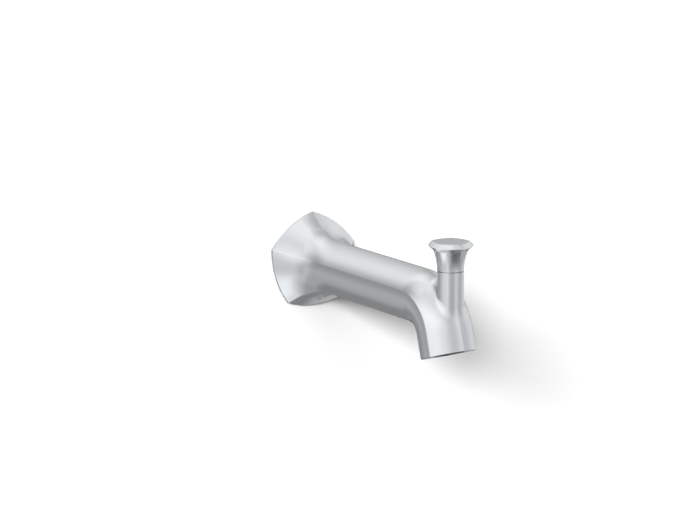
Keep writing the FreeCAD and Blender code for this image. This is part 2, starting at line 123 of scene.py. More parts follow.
# Ring of edges with five bowed sides, one corner up, or to the front when tilted by a quarter turn
def five_sided_ring(piece, corner, bulge, out, height=0.0, tilt=0.0):
    centre = (0.0, -out * MM, height * MM)
    bpy.ops.mesh.select_all(action="DESELECT")
    bpy.ops.mesh.primitive_circle_add(
        vertices=SIDES * PER_SIDE, radius=corner * MM, fill_type="NOTHING",
        location=centre, rotation=(QUARTER + tilt, 0.0, 0.0))
    mesh = bmesh.from_edit_mesh(piece.data)
    for vertex in mesh.verts:
        if vertex.select:
            across = vertex.co.x - centre[0]
            upright = (vertex.co.z - centre[2]) * math.cos(tilt)
            rise = upright - (vertex.co.y - centre[1]) * math.sin(tilt)
            angle = math.atan2(across, rise) % (2.0 * HALF_SIDE) - HALF_SIDE
            scale = bow_reach(corner, bulge, angle) / corner
            for axis in range(3):
                vertex.co[axis] = centre[axis] + (vertex.co[axis] - centre[axis]) * scale
    bmesh.update_edit_mesh(piece.data)


# Point on a smooth curve with four handles
def on_curve(handles, share):
    rest = 1.0 - share
    weights = (rest**3, 3.0 * rest**2 * share, 3.0 * rest * share**2, share**3)
    return [sum(weight * handle[axis] for weight, handle in zip(weights, handles)) for axis in (0, 1)]


# Bulge of a section of the flare: it swells quickly behind the rim
def flare_bulge(corner):
    blend = (corner - tube_corner) / (flange_corner - tube_corner)
    return tube_bulge + (flange_bulge - tube_bulge) * blend**3


# Rim, flare and tube are rings joined up, and the tube's end is spun through the bend and drawn out
body = start_piece("spout_casting")
five_sided_ring(body, flange_corner, flange_bulge, 0.0)
for step in range(flare_steps + 1):
    out, corner = on_curve(flare_handles, step / flare_steps)
    five_sided_ring(body, corner, flare_bulge(corner), out)
five_sided_ring(body, tube_corner, tube_bulge, straight_run)
bpy.ops.mesh.select_all(action="SELECT")
bpy.ops.mesh.bridge_edge_loops()
pick(body, lambda place: place.y < -straight_run + same_place)
bpy.ops.mesh.spin(
    steps=bend_steps, angle=bend_angle, axis=(-1.0, 0.0, 0.0),
    center=(0.0, -straight_run * MM, -bend_radius * MM))
leg_length = mouth_leg + leg_spare
bpy.ops.mesh.extrude_region_move(TRANSFORM_OT_translate={"value": (
    0.0, -leg_length * math.cos(bend_angle) * MM, -leg_length * math.sin(bend_angle) * MM)})
pick(body, lambda place: place.y > -same_place)
bpy.ops.mesh.edge_face_add()

# The mouth is cut a little askew, so that it opens towards the front
mouth_back = bow_reach(tube_corner, tube_bulge, 0.0)
mouth_low = (
    0.0, -(mouth_out - mouth_back * math.sin(bend_angle)) * MM,
    (mouth_up - mouth_back * math.cos(bend_angle)) * MM)
mouth_turn = bend_angle - mouth_tilt
bpy.ops.mesh.select_all(action="SELECT")
bpy.ops.mesh.bisect(
    plane_co=mouth_low, plane_no=(0.0, -math.cos(mouth_turn), -math.sin(mouth_turn)),
    use_fill=True, clear_outer=True)
bpy.ops.mesh.select_all(action="SELECT")
bpy.ops.mesh.normals_make_consistent(inside=False)

# The collar grows out of the bend through a rolled fillet, which no bevel of the finished mesh can give.
# A block of faces is taken out, and rays from the lift axis carry the bend, the fillet and the wall.
block_columns = 13
block_first = 8
block_last = 33
block_low = bend_radius / 3.0
fillet_behind = 5.5
fillet_ahead = 18.0
fillet_ahead_turn = math.radians(50.0)
fillet_behind_turn = math.radians(120.0)
fillet_rows = 10
skirt_rows = 4
slope_step = 0.05
foot_halvings = 40


# Height of the bend's skin over a place across the spout and out from the wall
def bend_height(across, out):
    offset, radius = side_arc(tube_corner, tube_bulge)
    side_turn = QUARTER - HALF_SIDE
    sideways = abs(across) - offset * math.cos(side_turn)
    reach = bend_radius + offset * math.sin(side_turn) + math.sqrt(radius**2 - sideways**2)
    along = max(out - straight_run, 0.0)
    return math.sqrt(reach**2 - along**2) - bend_radius


# The same over a place on a ray from the lift axis; a ray at no turn points ahead
def ray_height(turn, radius):
    return bend_height(radius * math.sin(turn), lift_out + radius * math.cos(turn))


# Downward slope of the bend along that ray, as an angle
def ray_slope(turn, radius):
    drop = ray_height(turn, radius - slope_step) - ray_height(turn, radius + slope_step)
    return math.atan2(drop, 2.0 * slope_step)


# Row of places down one ray: wall, fillet and the bend's skin out to the block's edge
def ray_places(turn, edge_radius):
    full = math.cos(fillet_ahead_turn)
    least = math.cos(fillet_behind_turn)
    ahead = min(max((math.cos(turn) - least) / (full - least), 0.0), 1.0)
    fillet = fillet_behind + (fillet_ahead - fillet_behind) * ahead**2 * (3.0 - 2.0 * ahead)
    middle = collar_radius + fillet
    low, high = collar_radius, edge_radius
    for _ in range(foot_halvings):
        foot = (low + high) / 2.0
        if foot + fillet * math.sin(ray_slope(turn, foot)) > middle:
            high = foot
        else:
            low = foot
    slope = ray_slope(turn, foot)
    centre_up = ray_height(turn, foot) + fillet * math.cos(slope)
    places = [(collar_radius, parting_up)]
    for row in range(fillet_rows + 1):
        angle = QUARTER + (slope - QUARTER) * row / fillet_rows
        places.append((middle - fillet * math.sin(angle), centre_up - fillet * math.cos(angle)))
    for row in range(1, skirt_rows):
        radius = foot + (edge_radius - foot) * row / skirt_rows
        places.append((radius, ray_height(turn, radius)))
    return places


# The block is taken out of the top of the bend
mesh = bmesh.from_edit_mesh(body.data)
bpy.ops.mesh.select_all(action="DESELECT")
bpy.ops.mesh.select_mode(type="FACE")
block_turn = 2.0 * math.pi / (SIDES * PER_SIDE) * block_columns
block_width = bow_reach(tube_corner, tube_bulge, block_turn - HALF_SIDE) * math.sin(block_turn)
for face in mesh.faces:
    middle = face.calc_center_median() / MM
    along = -middle.y - straight_run
    above = middle.z + bend_radius
    step = math.atan2(along, above) / bend_angle * bend_steps
    if block_first < step < block_last and above > block_low and abs(middle.x) < block_width:
        face.select_set(math.hypot(along, above) > bend_radius)
bmesh.update_edit_mesh(body.data)
bpy.ops.mesh.delete(type="FACE")
bpy.ops.mesh.select_mode(type="VERT")

# One ray runs to each point on the edge of the gap, and faces join each ray to the one before
mesh = bmesh.from_edit_mesh(body.data)
lift_y = -lift_out * MM
edge = [vertex for vertex in mesh.verts if vertex.is_boundary]
edge.sort(key=lambda vertex: math.atan2(vertex.co.x, lift_y - vertex.co.y))
rays = []
for vertex in edge:
    turn = math.atan2(vertex.co.x, lift_y - vertex.co.y)
    edge_radius = math.hypot(vertex.co.x, lift_y - vertex.co.y) / MM
    ray = []
    for radius, height in ray_places(turn, edge_radius):
        out = lift_out + radius * math.cos(turn)
        ray.append(mesh.verts.new((radius * math.sin(turn) * MM, -out * MM, height * MM)))
    rays.append(ray + [vertex])
for index, ray in enumerate(rays):
    before = rays[index - 1]
    for row in range(len(ray) - 1):
        mesh.faces.new((before[row], before[row + 1], ray[row + 1], ray[row]))
mesh.faces.new([ray[0] for ray in rays])
bmesh.update_edit_mesh(body.data)
bpy.ops.mesh.select_all(action="SELECT")
bpy.ops.mesh.normals_make_consistent(inside=False)

# The ridges and the outer edges are eased by the polishing wheel
ridge_angle = math.radians(6.0)
ridge_width = math.radians(0.5)
ridge_edge = 0.2
sharp_edge = math.radians(40.0)


# Rounds the edges that pass a test
def round_edges(piece, width, segments, test):
    bpy.ops.mesh.select_all(action="DESELECT")
    bpy.ops.mesh.select_mode(type="EDGE")
    mesh = bmesh.from_edit_mesh(piece.data)
    for edge in mesh.edges:
        if test(edge):
            edge.select_set(True)
    bmesh.update_edit_mesh(piece.data)
    bpy.ops.mesh.bevel(offset=width * MM, segments=segments, profile=0.5)
    bpy.ops.mesh.select_mode(type="VERT")


# True for a place on a ridge: its angle about the outline's middle is a whole number of sides
def ridge_at(place):
    out = -place.y
    if out <= straight_run:
        across, rise = place.x, place.z
    else:
        turn = min(math.atan2(out - straight_run, place.z + bend_radius), bend_angle)
        if place.z + bend_radius < 0.0:
            turn = bend_angle
        across = place.x
        middle_out = straight_run + bend_radius * math.sin(turn)
        middle_up = bend_radius * (math.cos(turn) - 1.0)
        rise = (out - middle_out) * math.sin(turn) + (place.z - middle_up) * math.cos(turn)
    angle = (math.atan2(across, rise) + HALF_SIDE) % (2.0 * HALF_SIDE) - HALF_SIDE
    return abs(angle) < ridge_width


# True for an edge along one of the five ridges
def is_ridge(edge):
    if len(edge.link_faces) != 2 or edge.calc_face_angle() < ridge_angle:
        return False
    first, second = (vertex.co / MM for vertex in edge.verts)
    return edge.calc_length() / MM >= ridge_edge and ridge_at(first) and ridge_at(second)


round_edges(body, ridge_round, 3, is_ridge)
round_edges(body, edge_round, 2, lambda edge: edge.calc_face_angle() > sharp_edge)
bpy.ops.object.mode_set(mode="OBJECT")


# Colours are written as sRGB hex values and turned to linear light here
def colour(code):
    parts = [int(code[place:place + 2], 16) / 255.0 for place in (1, 3, 5)]
    return [part / 12.92 if part <= 0.04045 else ((part + 0.055) / 1.055) ** 2.4 for part in parts] + [1.0]


# One node with its settings, its plain inputs and its links
def node(tree, kind, settings=None, inputs=None):
    made = tree.nodes.new(kind)
    for name, value in (settings or {}).items():
        setattr(made, name, value)
    for name, value in (inputs or {}).items():
        if isinstance(value, bpy.types.NodeSocket):
            tree.links.new(value, made.inputs[name])
        else:
            made.inputs[name].default_value = value
    return made


# New material with its shader set, and its tree, shader and place on the piece for what follows
def start_finish(name, code, metallic, roughness, ior=1.5):
    finish = bpy.data.materials.new(name)
    finish.use_nodes = True
    tree = finish.node_tree
    shader = tree.nodes["Principled BSDF"]
    shader.inputs["Base Color"].default_value = colour(code)
    shader.inputs["Metallic"].default_value = metallic
    shader.inputs["Roughness"].default_value = roughness
    shader.inputs["IOR"].default_value = ior
    return finish, tree, shader, node(tree, "ShaderNodeTexCoord").outputs["Object"]


# Satin chrome over linished brass: a soft mirror, slightly uneven where the wheel passed, hazier in patches
satin_chrome, tree, shader, place = start_finish("satin_chrome_plate", "#E4E7EA", 1.0, 0.2)
haze_size = 6.0
wheel_size = 14.0
wheel_depth = 0.012
patches = node(tree, "ShaderNodeTexNoise", {}, {
    "Vector": place, "Scale": 1.0 / (haze_size * MM), "Detail": 4.0})
haze = node(tree, "ShaderNodeMapRange", {}, {
    "Value": patches.outputs["Fac"], "To Min": 0.11, "To Max": 0.17})
waves = node(tree, "ShaderNodeTexNoise", {}, {
    "Vector": place, "Scale": 1.0 / (wheel_size * MM), "Detail": 1.0})
ripple = node(tree, "ShaderNodeBump", {}, {
    "Height": waves.outputs["Fac"], "Strength": 1.0, "Distance": wheel_depth * MM})
tree.links.new(haze.outputs[0], shader.inputs["Roughness"])
tree.links.new(ripple.outputs[0], shader.inputs["Normal"])
body.data.materials.append(satin_chrome)

# Brass as the sand core leaves it: dull, mottled and grainy
as_cast, tree, shader, place = start_finish("as_cast_brass", "#A08A5C", 1.0, 0.55)
mottle_size = 5.0
sand_grain = 0.45
sand_depth = 0.08
patches = node(tree, "ShaderNodeTexNoise", {}, {
    "Vector": place, "Scale": 1.0 / (mottle_size * MM), "Detail": 5.0})
tint = node(tree, "ShaderNodeMixRGB", {}, {
    0: patches.outputs["Fac"], 1: colour("#877144"), 2: colour("#B9A477")})
grain = node(tree, "ShaderNodeTexNoise", {}, {
    "Vector": place, "Scale": 1.0 / (sand_grain * MM), "Detail": 6.0})
rough = node(tree, "ShaderNodeBump", {}, {
    "Height": grain.outputs["Fac"], "Strength": 0.8, "Distance": sand_depth * MM})
tree.links.new(tint.outputs[0], shader.inputs["Base Color"])
tree.links.new(rough.outputs[0], shader.inputs["Normal"])

# Brass fresh from the boring tool: bright, with fine scratches from the swarf
bored, tree, shader, place = start_finish("bored_brass", "#D6B878", 1.0, 0.28)
scratch_size = 0.35
scratches = node(tree, "ShaderNodeTexNoise", {}, {
    "Vector": place, "Scale": 1.0 / (scratch_size * MM), "Detail": 3.0, "Distortion": 1.5})
wear = node(tree, "ShaderNodeMapRange", {}, {
    "Value": scratches.outputs["Fac"], "To Min": 0.2, "To Max": 0.4})
tree.links.new(wear.outputs[0], shader.inputs["Roughness"])

# Bore that was plated but never polished: grey and dull, with the drill's marks
plated_bore, tree, shader, place = start_finish("plated_bore", "#C8CBCE", 1.0, 0.5)
mark_size = 0.5
marks = node(tree, "ShaderNodeTexNoise", {}, {
    "Vector": place, "Scale": 1.0 / (mark_size * MM), "Detail": 3.0})
wear = node(tree, "ShaderNodeMapRange", {}, {
    "Value": marks.outputs["Fac"], "To Min": 0.4, "To Max": 0.6})
tree.links.new(wear.outputs[0], shader.inputs["Roughness"])

# Hollow back, inlet socket, water way and valve chamber, cut as the real ones are cored and bored
cast_wall = 3.0
corner_wall = cast_wall / math.cos(HALF_SIDE)
rim_land = 4.8 / math.cos(HALF_SIDE)
recess_depth = 16.0
recess_rings = 6
socket_radius = 14.3
socket_start = 6.0
socket_bore = 11.0
socket_end = 36.0
throat_radius = 6.9
core_start = 42.0
core_corner = tube_corner - corner_wall
core_nose = 12.0
core_nose_corner = 10.0
port_radius = 4.2
port_low = -7.0
port_start = (0.0, -straight_run, port_low)
chamber_radius = 9.8
passage_radius = 3.2
guide_bore = 5.6
guide_rim_bore = 6.95
guide_rim_depth = 2.0
screw_out = 12.5
screw_bore = 2.55
key_bore = 3.4
gasket_corner = flange_corner - 1.7 / math.cos(HALF_SIDE)
gasket_width = 1.5 / math.cos(HALF_SIDE)
gasket_depth = 1.2
mouth_lip = 1.8 / math.cos(HALF_SIDE)
mouth_relief = 1.0
bore_edge = 0.4
bore_sides = 64
small_bore_sides = 32
gap = 0.3
over = 1.0
flare_halvings = 30
cage_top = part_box("diverter_cage")[1].z / MM
guide_foot, guide_top = (corner.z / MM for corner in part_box("stem_guide"))
cage_clearance = 0.1
chamber_roof = cage_top + cage_clearance
port_up = sum(corner.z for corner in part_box("port_seal")) / 2.0 / MM


# Round tool between two places in millimetres, straight or tapered
def round_tool(finish, radius, start, end, end_radius=None, sides=bore_sides):
    start, end = Vector(start), Vector(end)
    bpy.ops.object.select_all(action="DESELECT")
    bpy.ops.mesh.primitive_cone_add(
        vertices=sides, radius1=radius * MM, radius2=(end_radius or radius) * MM,
        depth=(end - start).length * MM, location=(start + end) / 2.0 * MM,
        rotation=(end - start).to_track_quat("Z", "Y").to_euler())
    bpy.ops.object.transform_apply(location=True, rotation=True, scale=True)
    tool = bpy.context.active_object
    tool.data.materials.append(finish)
    return tool


# Turns a tool's faces outwards and gives it the finish that it leaves in the metal
def finish_tool(tool, finish):
    bpy.ops.mesh.select_all(action="SELECT")
    bpy.ops.mesh.normals_make_consistent(inside=False)
    bpy.ops.object.mode_set(mode="OBJECT")
    tool.data.materials.append(finish)
    return tool


# Five-sided tool through rings given as corner, bulge, distance from the wall, height and tilt
def five_sided_tool(finish, rings):
    tool = start_piece("tool")
    for corner, bulge, out, height, tilt in rings:
        five_sided_ring(tool, corner, bulge, out, height, tilt)
    bpy.ops.mesh.select_all(action="SELECT")
    bpy.ops.mesh.bridge_edge_loops()
    bpy.ops.mesh.select_all(action="SELECT")
    bpy.ops.mesh.fill_holes(sides=0)
    return finish_tool(tool, finish)


# Five-sided frame of a given width and depth that cuts a groove in the back of the flange
def groove_tool(finish, corner, width, depth):
    tool = start_piece("tool")
    five_sided_ring(tool, corner, flange_bulge, -over)
    five_sided_ring(tool, corner - width, flange_bulge, -over)
    bpy.ops.mesh.select_all(action="SELECT")
    bpy.ops.mesh.bridge_edge_loops()
    bpy.ops.mesh.extrude_region_move(TRANSFORM_OT_translate={"value": (0.0, -(depth + over) * MM, 0.0)})
    return finish_tool(tool, finish)


# Cuts a tool out of the piece, or joins it on, and takes the tool away
def shape_with(piece, tool, operation="DIFFERENCE"):
    change = piece.modifiers.new("shape", "BOOLEAN")
    change.solver = "EXACT"
    change.material_mode = "TRANSFER"
    change.operation = operation
    change.object = tool
    bpy.ops.object.select_all(action="DESELECT")
    piece.select_set(True)
    bpy.context.view_layer.objects.active = piece
    bpy.ops.object.modifier_apply(modifier=change.name)
    bpy.data.objects.remove(tool)


# Corner radius and bulge of the flare at a distance from the wall
def flare_at(out):
    low, high = 0.0, 1.0
    for _ in range(flare_halvings):
        share = (low + high) / 2.0
        if on_curve(flare_handles, share)[0] < out:
            low = share
        else:
            high = share
    corner = on_curve(flare_handles, share)[1]
    return corner, flare_bulge(corner)


# Hollow behind the flange
recess_corner = flange_corner - rim_land
recess = [(recess_corner, flange_bulge, -over, 0.0, 0.0), (recess_corner, flange_bulge, 0.0, 0.0, 0.0)]
for ring in range(1, recess_rings + 1):
    out = rim_thickness + (recess_depth - rim_thickness) * ring / recess_rings
    corner, bulge = flare_at(out)
    recess.append((corner - corner_wall, bulge, out, 0.0, 0.0))
shape_with(body, five_sided_tool(as_cast, recess))

# Boss for the inlet sleeve, gasket groove, socket with its bevelled mouth, and the throat behind it
boss_end = recess_depth + cast_wall
bevel_start = (0, -socket_start + over, 0)
bevel_end = (0, -socket_start - bore_edge, 0)
shape_with(body, round_tool(as_cast, socket_radius, (0, -socket_start, 0), (0, -boss_end, 0)), "UNION")
shape_with(body, groove_tool(bored, gasket_corner, gasket_width, gasket_depth))
shape_with(body, round_tool(bored, socket_bore, (0, over, 0), (0, -socket_end, 0)))
shape_with(body, round_tool(bored, socket_bore + bore_edge + over, bevel_start, bevel_end, socket_bore))
shape_with(body, round_tool(bored, throat_radius, (0, -socket_end + over, 0), (0, -core_start - over, 0)))

# Cored water way, and the port from its end into the chamber
core_end = straight_run - core_nose / 2.0
shape_with(body, five_sided_tool(as_cast, (
    (core_corner, tube_bulge, core_start, 0.0, 0.0),
    (core_corner, tube_bulge, core_end, 0.0, 0.0),
    (core_nose_corner, tube_bulge, core_end + core_nose, 0.0, 0.0))))
port_end = (0, -lift_out + chamber_radius - over, port_up)
shape_with(body, round_tool(bored, port_radius, port_start, port_end))

# Chamber for the valve, bored from the mouth, and the relief inside the mouth's lip
lift = Vector((0.0, -lift_out, 0.0))
upwards = Vector((0.0, 0.0, 1.0))
chamber_foot = lift + upwards * (mouth_up - chamber_radius)
shape_with(body, round_tool(bored, chamber_radius, chamber_foot, lift + upwards * chamber_roof))
mouth_middle = Vector((mouth_low[1] / MM, mouth_low[2] / MM))
across_mouth = Vector((-math.sin(mouth_turn), math.cos(mouth_turn)))
into_leg = Vector((math.cos(mouth_turn), math.sin(mouth_turn)))
relief = []
for depth in (-over, mouth_relief):
    middle = mouth_middle + across_mouth * mouth_back + into_leg * depth
    relief.append((tube_corner - mouth_lip, tube_bulge, -middle.x, middle.y, mouth_turn))
shape_with(body, five_sided_tool(satin_chrome, relief))

# Bores in the collar for the lift rod and its guide
passage_foot = lift + upwards * (chamber_roof - over)
bush_foot = lift + upwards * (guide_foot - gap)
bush_top = lift + upwards * guide_top
rim_foot = lift + upwards * (guide_top - guide_rim_depth)
shape_with(body, round_tool(bored, passage_radius, passage_foot, lift + upwards * guide_foot))
shape_with(body, round_tool(bored, guide_bore, bush_foot, bush_top))
shape_with(body, round_tool(satin_chrome, guide_rim_bore, rim_foot, lift + upwards * (parting_up + over)))

# Tapped hole for the set screw, and the wider hole under it for the key
screw = Vector((0.0, -screw_out, 0.0))
screw_end = screw - upwards * (socket_radius + over)
key_start = screw - upwards * (socket_radius + gap)
key_end = screw - upwards * flange_corner
shape_with(body, round_tool(bored, screw_bore, screw, screw_end, sides=small_bore_sides))
shape_with(body, round_tool(plated_bore, key_bore, key_start, key_end, sides=small_bore_sides))

smooth_angle = 30.0


# Smooth shading that keeps the broad faces true beside their small rounded edges
def shade(piece):
    bpy.ops.object.select_all(action="DESELECT")
    piece.select_set(True)
    bpy.context.view_layer.objects.active = piece
    bpy.ops.object.shade_smooth_by_angle(angle=math.radians(smooth_angle))
    normals = piece.modifiers.new("normals", "WEIGHTED_NORMAL")
    normals.keep_sharp = True
    bpy.ops.object.modifier_apply(modifier=normals.name)


shade(body)
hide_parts("spout_body")
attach(body, "spout")

# Wall gasket
# Closed-cell foam, die-cut as a ring and pressed into the groove in the back of the flange.
# It is squeezed against the tiles so that no water runs behind the flange.


# Gives a piece of the construction model its finish
def dress(name, finish):
    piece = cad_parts[name]
    piece.data.materials.clear()
    piece.data.materials.append(finish)


foam, tree, shader, place = start_finish("closed_cell_foam", "#5C6064", 0.0, 0.88)
foam_cell = 0.5
foam_depth = 0.1
cells = node(tree, "ShaderNodeTexVoronoi", {}, {"Vector": place, "Scale": 1.0 / (foam_cell * MM)})
# The middles of the cells are painted darker: painted shade in the pores, from the same pattern that sinks
# them
pore_shade = node(tree, "ShaderNodeMapRange", {}, {"Value": cells.outputs["Distance"], "From Max": 0.6})
tint = node(tree, "ShaderNodeMixRGB", {}, {
    0: pore_shade.outputs[0], 1: colour("#45484C"), 2: colour("#6E7277")})
pores = node(tree, "ShaderNodeBump", {}, {
    "Height": cells.outputs["Distance"], "Strength": 0.9, "Distance": foam_depth * MM})
tree.links.new(tint.outputs[0], shader.inputs["Base Color"])
tree.links.new(pores.outputs[0], shader.inputs["Normal"])
dress("wall_gasket", foam)

# Inlet sleeve
# Free-cutting brass bar with a hexagon at its end, turned and bored so that it slips over the copper pipe.
# It screws into the casting, and three nitrile rings seal it on the pipe and in the casting.
# Feed of the lathe tool, about twice as wide as the usual one so that its rings show
feed = 0.4
tool_depth = 0.02
tarnish_size = 4.0
# A wave pattern of scale 1 repeats after this length
wave_length = math.pi / 10.0


# Turned metal: fine rings from the tool, square to the axis that the piece turned on, dulled in places
def turned_finish(name, code, dark_code, axis):
    finish, tree, shader, place = start_finish(name, code, 1.0, 0.26)
    rings = node(tree, "ShaderNodeTexWave", {"bands_direction": axis}, {
        "Vector": place, "Scale": wave_length / (feed * MM),
        "Distortion": 0.6, "Detail": 2.0, "Detail Scale": 0.4})
    mottle = node(tree, "ShaderNodeTexNoise", {}, {
        "Vector": place, "Scale": 1.0 / (tarnish_size * MM), "Detail": 4.0})
    tint = node(tree, "ShaderNodeMixRGB", {}, {
        0: mottle.outputs["Fac"], 1: colour(dark_code), 2: colour(code)})
    polish = node(tree, "ShaderNodeMapRange", {}, {
        "Value": mottle.outputs["Fac"], "To Min": 0.2, "To Max": 0.36})
    cut = node(tree, "ShaderNodeBump", {}, {
        "Height": rings.outputs["Fac"], "Strength": 0.5, "Distance": tool_depth * MM})
    tree.links.new(tint.outputs[0], shader.inputs["Base Color"])
    tree.links.new(polish.outputs[0], shader.inputs["Roughness"])
    tree.links.new(cut.outputs[0], shader.inputs["Normal"])
    return finish


sleeve_brass = turned_finish("turned_brass_sleeve", "#D9BC7A", "#B8945A", "Y")
dress("inlet_adapter", sleeve_brass)

# Nitrile rubber: near black, dull, with a fine moulded grain and a pale bloom in places
rubber, tree, shader, place = start_finish("nitrile_rubber", "#1C1C1D", 0.0, 0.55, 1.52)
bloom_size = 3.0
rubber_grain = 0.25
rubber_depth = 0.02
bloom = node(tree, "ShaderNodeTexNoise", {}, {
    "Vector": place, "Scale": 1.0 / (bloom_size * MM), "Detail": 3.0})
tint = node(tree, "ShaderNodeMixRGB", {}, {
    0: bloom.outputs["Fac"], 1: colour("#141415"), 2: colour("#2C2D2F")})
grain = node(tree, "ShaderNodeTexNoise", {}, {
    "Vector": place, "Scale": 1.0 / (rubber_grain * MM), "Detail": 2.0})
skin = node(tree, "ShaderNodeBump", {}, {
    "Height": grain.outputs["Fac"], "Strength": 0.6, "Distance": rubber_depth * MM})
tree.links.new(tint.outputs[0], shader.inputs["Base Color"])
tree.links.new(skin.outputs[0], shader.inputs["Normal"])
for name in ("adapter_o_ring", "pipe_o_ring_front", "pipe_o_ring_rear"):
    dress(name, rubber)

# Set screw
# Stainless steel grub screw with a hex socket, turned from bar.
# It is driven from below, through the flange, onto the pipe.
steel = turned_finish("turned_stainless_steel", "#BDBEC0", "#A3A5A8", "Z")
dress("set_screw", steel)

# Diverter valve
# A moulded acetal cage in the mouth guides a brass disc with a rubber face that the lift rod pulls up.
# The disc shuts the way to the mouth, and the water rises to the shower.
# A steel clip and washer hold it on the rod, and a rubber ring seals the cage's water window.
flow_size = 5.0
acetal_grain = 0.3
acetal_depth = 0.015


# Moulded acetal: slightly waxy, with pale flow marks and the fine grain of the mould
def acetal_finish(name, code, dark_code, light_code, roughness):
    finish, tree, shader, place = start_finish(name, code, 0.0, roughness, 1.48)
    flow = node(tree, "ShaderNodeTexNoise", {}, {
        "Vector": place, "Scale": 1.0 / (flow_size * MM), "Detail": 2.0, "Distortion": 1.0})
    tint = node(tree, "ShaderNodeMixRGB", {}, {
        0: flow.outputs["Fac"], 1: colour(dark_code), 2: colour(light_code)})
    grain = node(tree, "ShaderNodeTexNoise", {}, {
        "Vector": place, "Scale": 1.0 / (acetal_grain * MM), "Detail": 2.0})
    skin = node(tree, "ShaderNodeBump", {}, {
        "Height": grain.outputs["Fac"], "Strength": 0.5, "Distance": acetal_depth * MM})
    tree.links.new(tint.outputs[0], shader.inputs["Base Color"])
    tree.links.new(skin.outputs[0], shader.inputs["Normal"])
    return finish


white_acetal = acetal_finish("white_acetal", "#DCDCD6", "#D2D2CB", "#E4E4DF", 0.38)
stem_brass = turned_finish("turned_brass_stem", "#D9BC7A", "#B8945A", "Z")
dress("diverter_cage", white_acetal)
dress("valve_disc", stem_brass)
for name in ("port_seal", "disc_seal"):
    dress(name, rubber)
for name in ("lift_rod", "seal_washer", "rod_clip"):
    dress(name, steel)

# Stem guide
# A turned brass bush pressed into the collar, which the lift rod runs in.
# A rubber ring outside, and a rubber seal under a steel cap, keep it tight.
dress("stem_guide", stem_brass)
dress("seal_retainer", steel)
for name in ("guide_o_ring", "stem_seal"):
    dress(name, rubber)

# Stream former
# Grey acetal moulding with a honeycomb of small holes that straightens the water.
# It snaps into the mouth, under the diverter's cage.
grey_acetal = acetal_finish("grey_acetal", "#5F6367", "#56595D", "#6A6E73", 0.42)
dress("stream_former", grey_acetal)

# Knob
# Turned and milled brass: a round neck that spreads to five sides, with a bevelled flat top.
# It is chromed all over and screws onto the lift rod, so it rides with the diverter.
parting_gap = 0.45
knob_bottom = parting_up + parting_gap
neck_straight = 4.5
neck_spread_up = 33.4
neck_spread_corner = 10.3
neck_top = 37.15
neck_top_corner = 12.4
neck_steps = 12
neck_bulge = 0.1
head_corner = 15.6
head_bulge = 0.083
head_low = 39.25
head_high = 39.75
head_top = 42.55
head_top_corner = 12.8
head_edge = math.radians(20.0)
knob_relief = 6.6
knob_hub = 4.3
relief_depth = 4.0
rod_socket = 2.55
rod_socket_top = 36.45
neck_handles = (
    (knob_bottom, collar_radius),
    (knob_bottom + neck_straight, collar_radius),
    (neck_spread_up, neck_spread_corner),
    (neck_top, neck_top_corner),
)
head_levels = ((head_corner, head_low), (head_corner, head_high), (head_top_corner, head_top))
# Five sides that bow out by this much make a circle
circle_bulge = (1.0 - math.cos(HALF_SIDE)) / (2.0 * math.sin(HALF_SIDE))
knob = start_piece("diverter_knob")
for step in range(neck_steps + 1):
    share = step / neck_steps
    height, corner = on_curve(neck_handles, share)
    bulge = circle_bulge + (neck_bulge - circle_bulge) * share
    five_sided_ring(knob, corner, bulge, lift_out, height, QUARTER)
for corner, height in head_levels:
    five_sided_ring(knob, corner, head_bulge, lift_out, height, QUARTER)
bpy.ops.mesh.select_all(action="SELECT")
bpy.ops.mesh.bridge_edge_loops()
bpy.ops.mesh.select_all(action="SELECT")
bpy.ops.mesh.fill_holes(sides=0)
bpy.ops.mesh.select_all(action="SELECT")
bpy.ops.mesh.normals_make_consistent(inside=False)
round_edges(knob, edge_round, 3, lambda edge: edge.calc_face_angle() > head_edge)
bpy.ops.object.mode_set(mode="OBJECT")
knob.data.materials.append(satin_chrome)
below_knob = lift + upwards * (knob_bottom - over)
relief_roof = lift + upwards * (knob_bottom + relief_depth)
hub_foot = lift + upwards * knob_bottom
hub_top = lift + upwards * (knob_bottom + relief_depth + over)
shape_with(knob, round_tool(satin_chrome, knob_relief, below_knob, relief_roof))
shape_with(knob, round_tool(bored, knob_hub, hub_foot, hub_top), "UNION")
shape_with(knob, round_tool(bored, rod_socket, below_knob, lift + upwards * rod_socket_top))
shade(knob)
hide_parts("knob")
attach(knob, "diverter")

# Wall
# White painted plaster, which carries the spout's shadow.
# It is see-through from behind, with a hole hidden under the flange.
wall_half = 3000.0
wall_hole = 26.0
# Level that the rest of the room adds to the wall, for the camera alone
wall_glow = 0.05
wall = start_piece("wall")
bpy.ops.mesh.primitive_circle_add(
    vertices=64, radius=wall_hole * MM, fill_type="NOTHING", rotation=(QUARTER, 0.0, 0.0))
bpy.ops.mesh.extrude_edges_move()
growth = wall_half / wall_hole
bpy.ops.transform.resize(value=(growth, 1.0, growth), center_override=(0.0, 0.0, 0.0))
bpy.ops.mesh.select_all(action="SELECT")
bpy.ops.mesh.normals_make_consistent(inside=False)
bpy.ops.object.mode_set(mode="OBJECT")
if wall.data.polygons[0].normal.y > 0.0:
    wall.data.flip_normals()
wall.visible_glossy = False
paint = bpy.data.materials.new("wall_paint")
paint.use_nodes = True
tree = paint.node_tree
tree.nodes.clear()
path = node(tree, "ShaderNodeLightPath")
side = node(tree, "ShaderNodeNewGeometry")
white = node(tree, "ShaderNodeBsdfDiffuse", {}, {"Color": colour("#FFFFFF")})
clear = node(tree, "ShaderNodeBsdfTransparent")
seen = node(tree, "ShaderNodeMath", {"operation": "MULTIPLY"}, {
    0: path.outputs["Is Camera Ray"], 1: wall_glow})
glow = node(tree, "ShaderNodeEmission", {}, {"Color": colour("#FFFFFF"), "Strength": seen.outputs[0]})
lit = node(tree, "ShaderNodeAddShader", {}, {0: white.outputs[0], 1: glow.outputs[0]})
